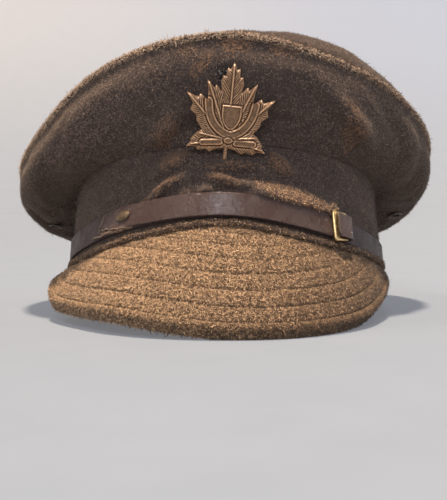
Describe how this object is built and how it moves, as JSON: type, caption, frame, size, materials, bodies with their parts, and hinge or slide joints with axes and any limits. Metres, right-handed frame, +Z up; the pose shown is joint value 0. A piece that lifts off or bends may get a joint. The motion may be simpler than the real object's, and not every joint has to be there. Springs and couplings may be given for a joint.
{
  "type": "military cap",
  "caption": "Soft khaki wool service cap with a wide drooping crown, plain cloth band, deep stitched peak, leather chin strap with brass slide, and a cast bronze leaf badge",
  "frame": {"origin": "middle of the cap's bounding box in plan, on the table it rests on", "axes": "+Z up from the table; -Y towards the peak, which is the cap's front; +X towards the wearer's left"},
  "size_m": [0.2468, 0.2662, 0.1495],
  "materials": {
    "wool_crown": "milled khaki serge with a raised, slightly worn nap",
    "wool_peak": "the same serge over a stiffener, stitched in close rows",
    "strap_leather": "dark brown polished leather, scuffed",
    "strap_brass": "dulled brass",
    "badge_bronze": "bronze with rubbed high points",
    "eyelet_metal": "dark japanned metal"
  },
  "bodies": {
    "root": {"crown_top": "wool_crown", "quarter_front_right": "wool_crown", "quarter_front_left": "wool_crown", "quarter_back_right": "wool_crown", "quarter_back_left": "wool_crown", "rim_cord": "wool_crown", "band": "wool_crown", "peak": "wool_peak", "strap_under": "strap_leather", "strap_over": "strap_leather", "strap_slide": "strap_brass", "strap_stud": "strap_brass", "side_button_right": "strap_brass", "side_button_left": "strap_brass", "badge": "badge_bronze", "eyelet_right": "eyelet_metal", "eyelet_left": "eyelet_metal"}
  },
  "joints": []
}
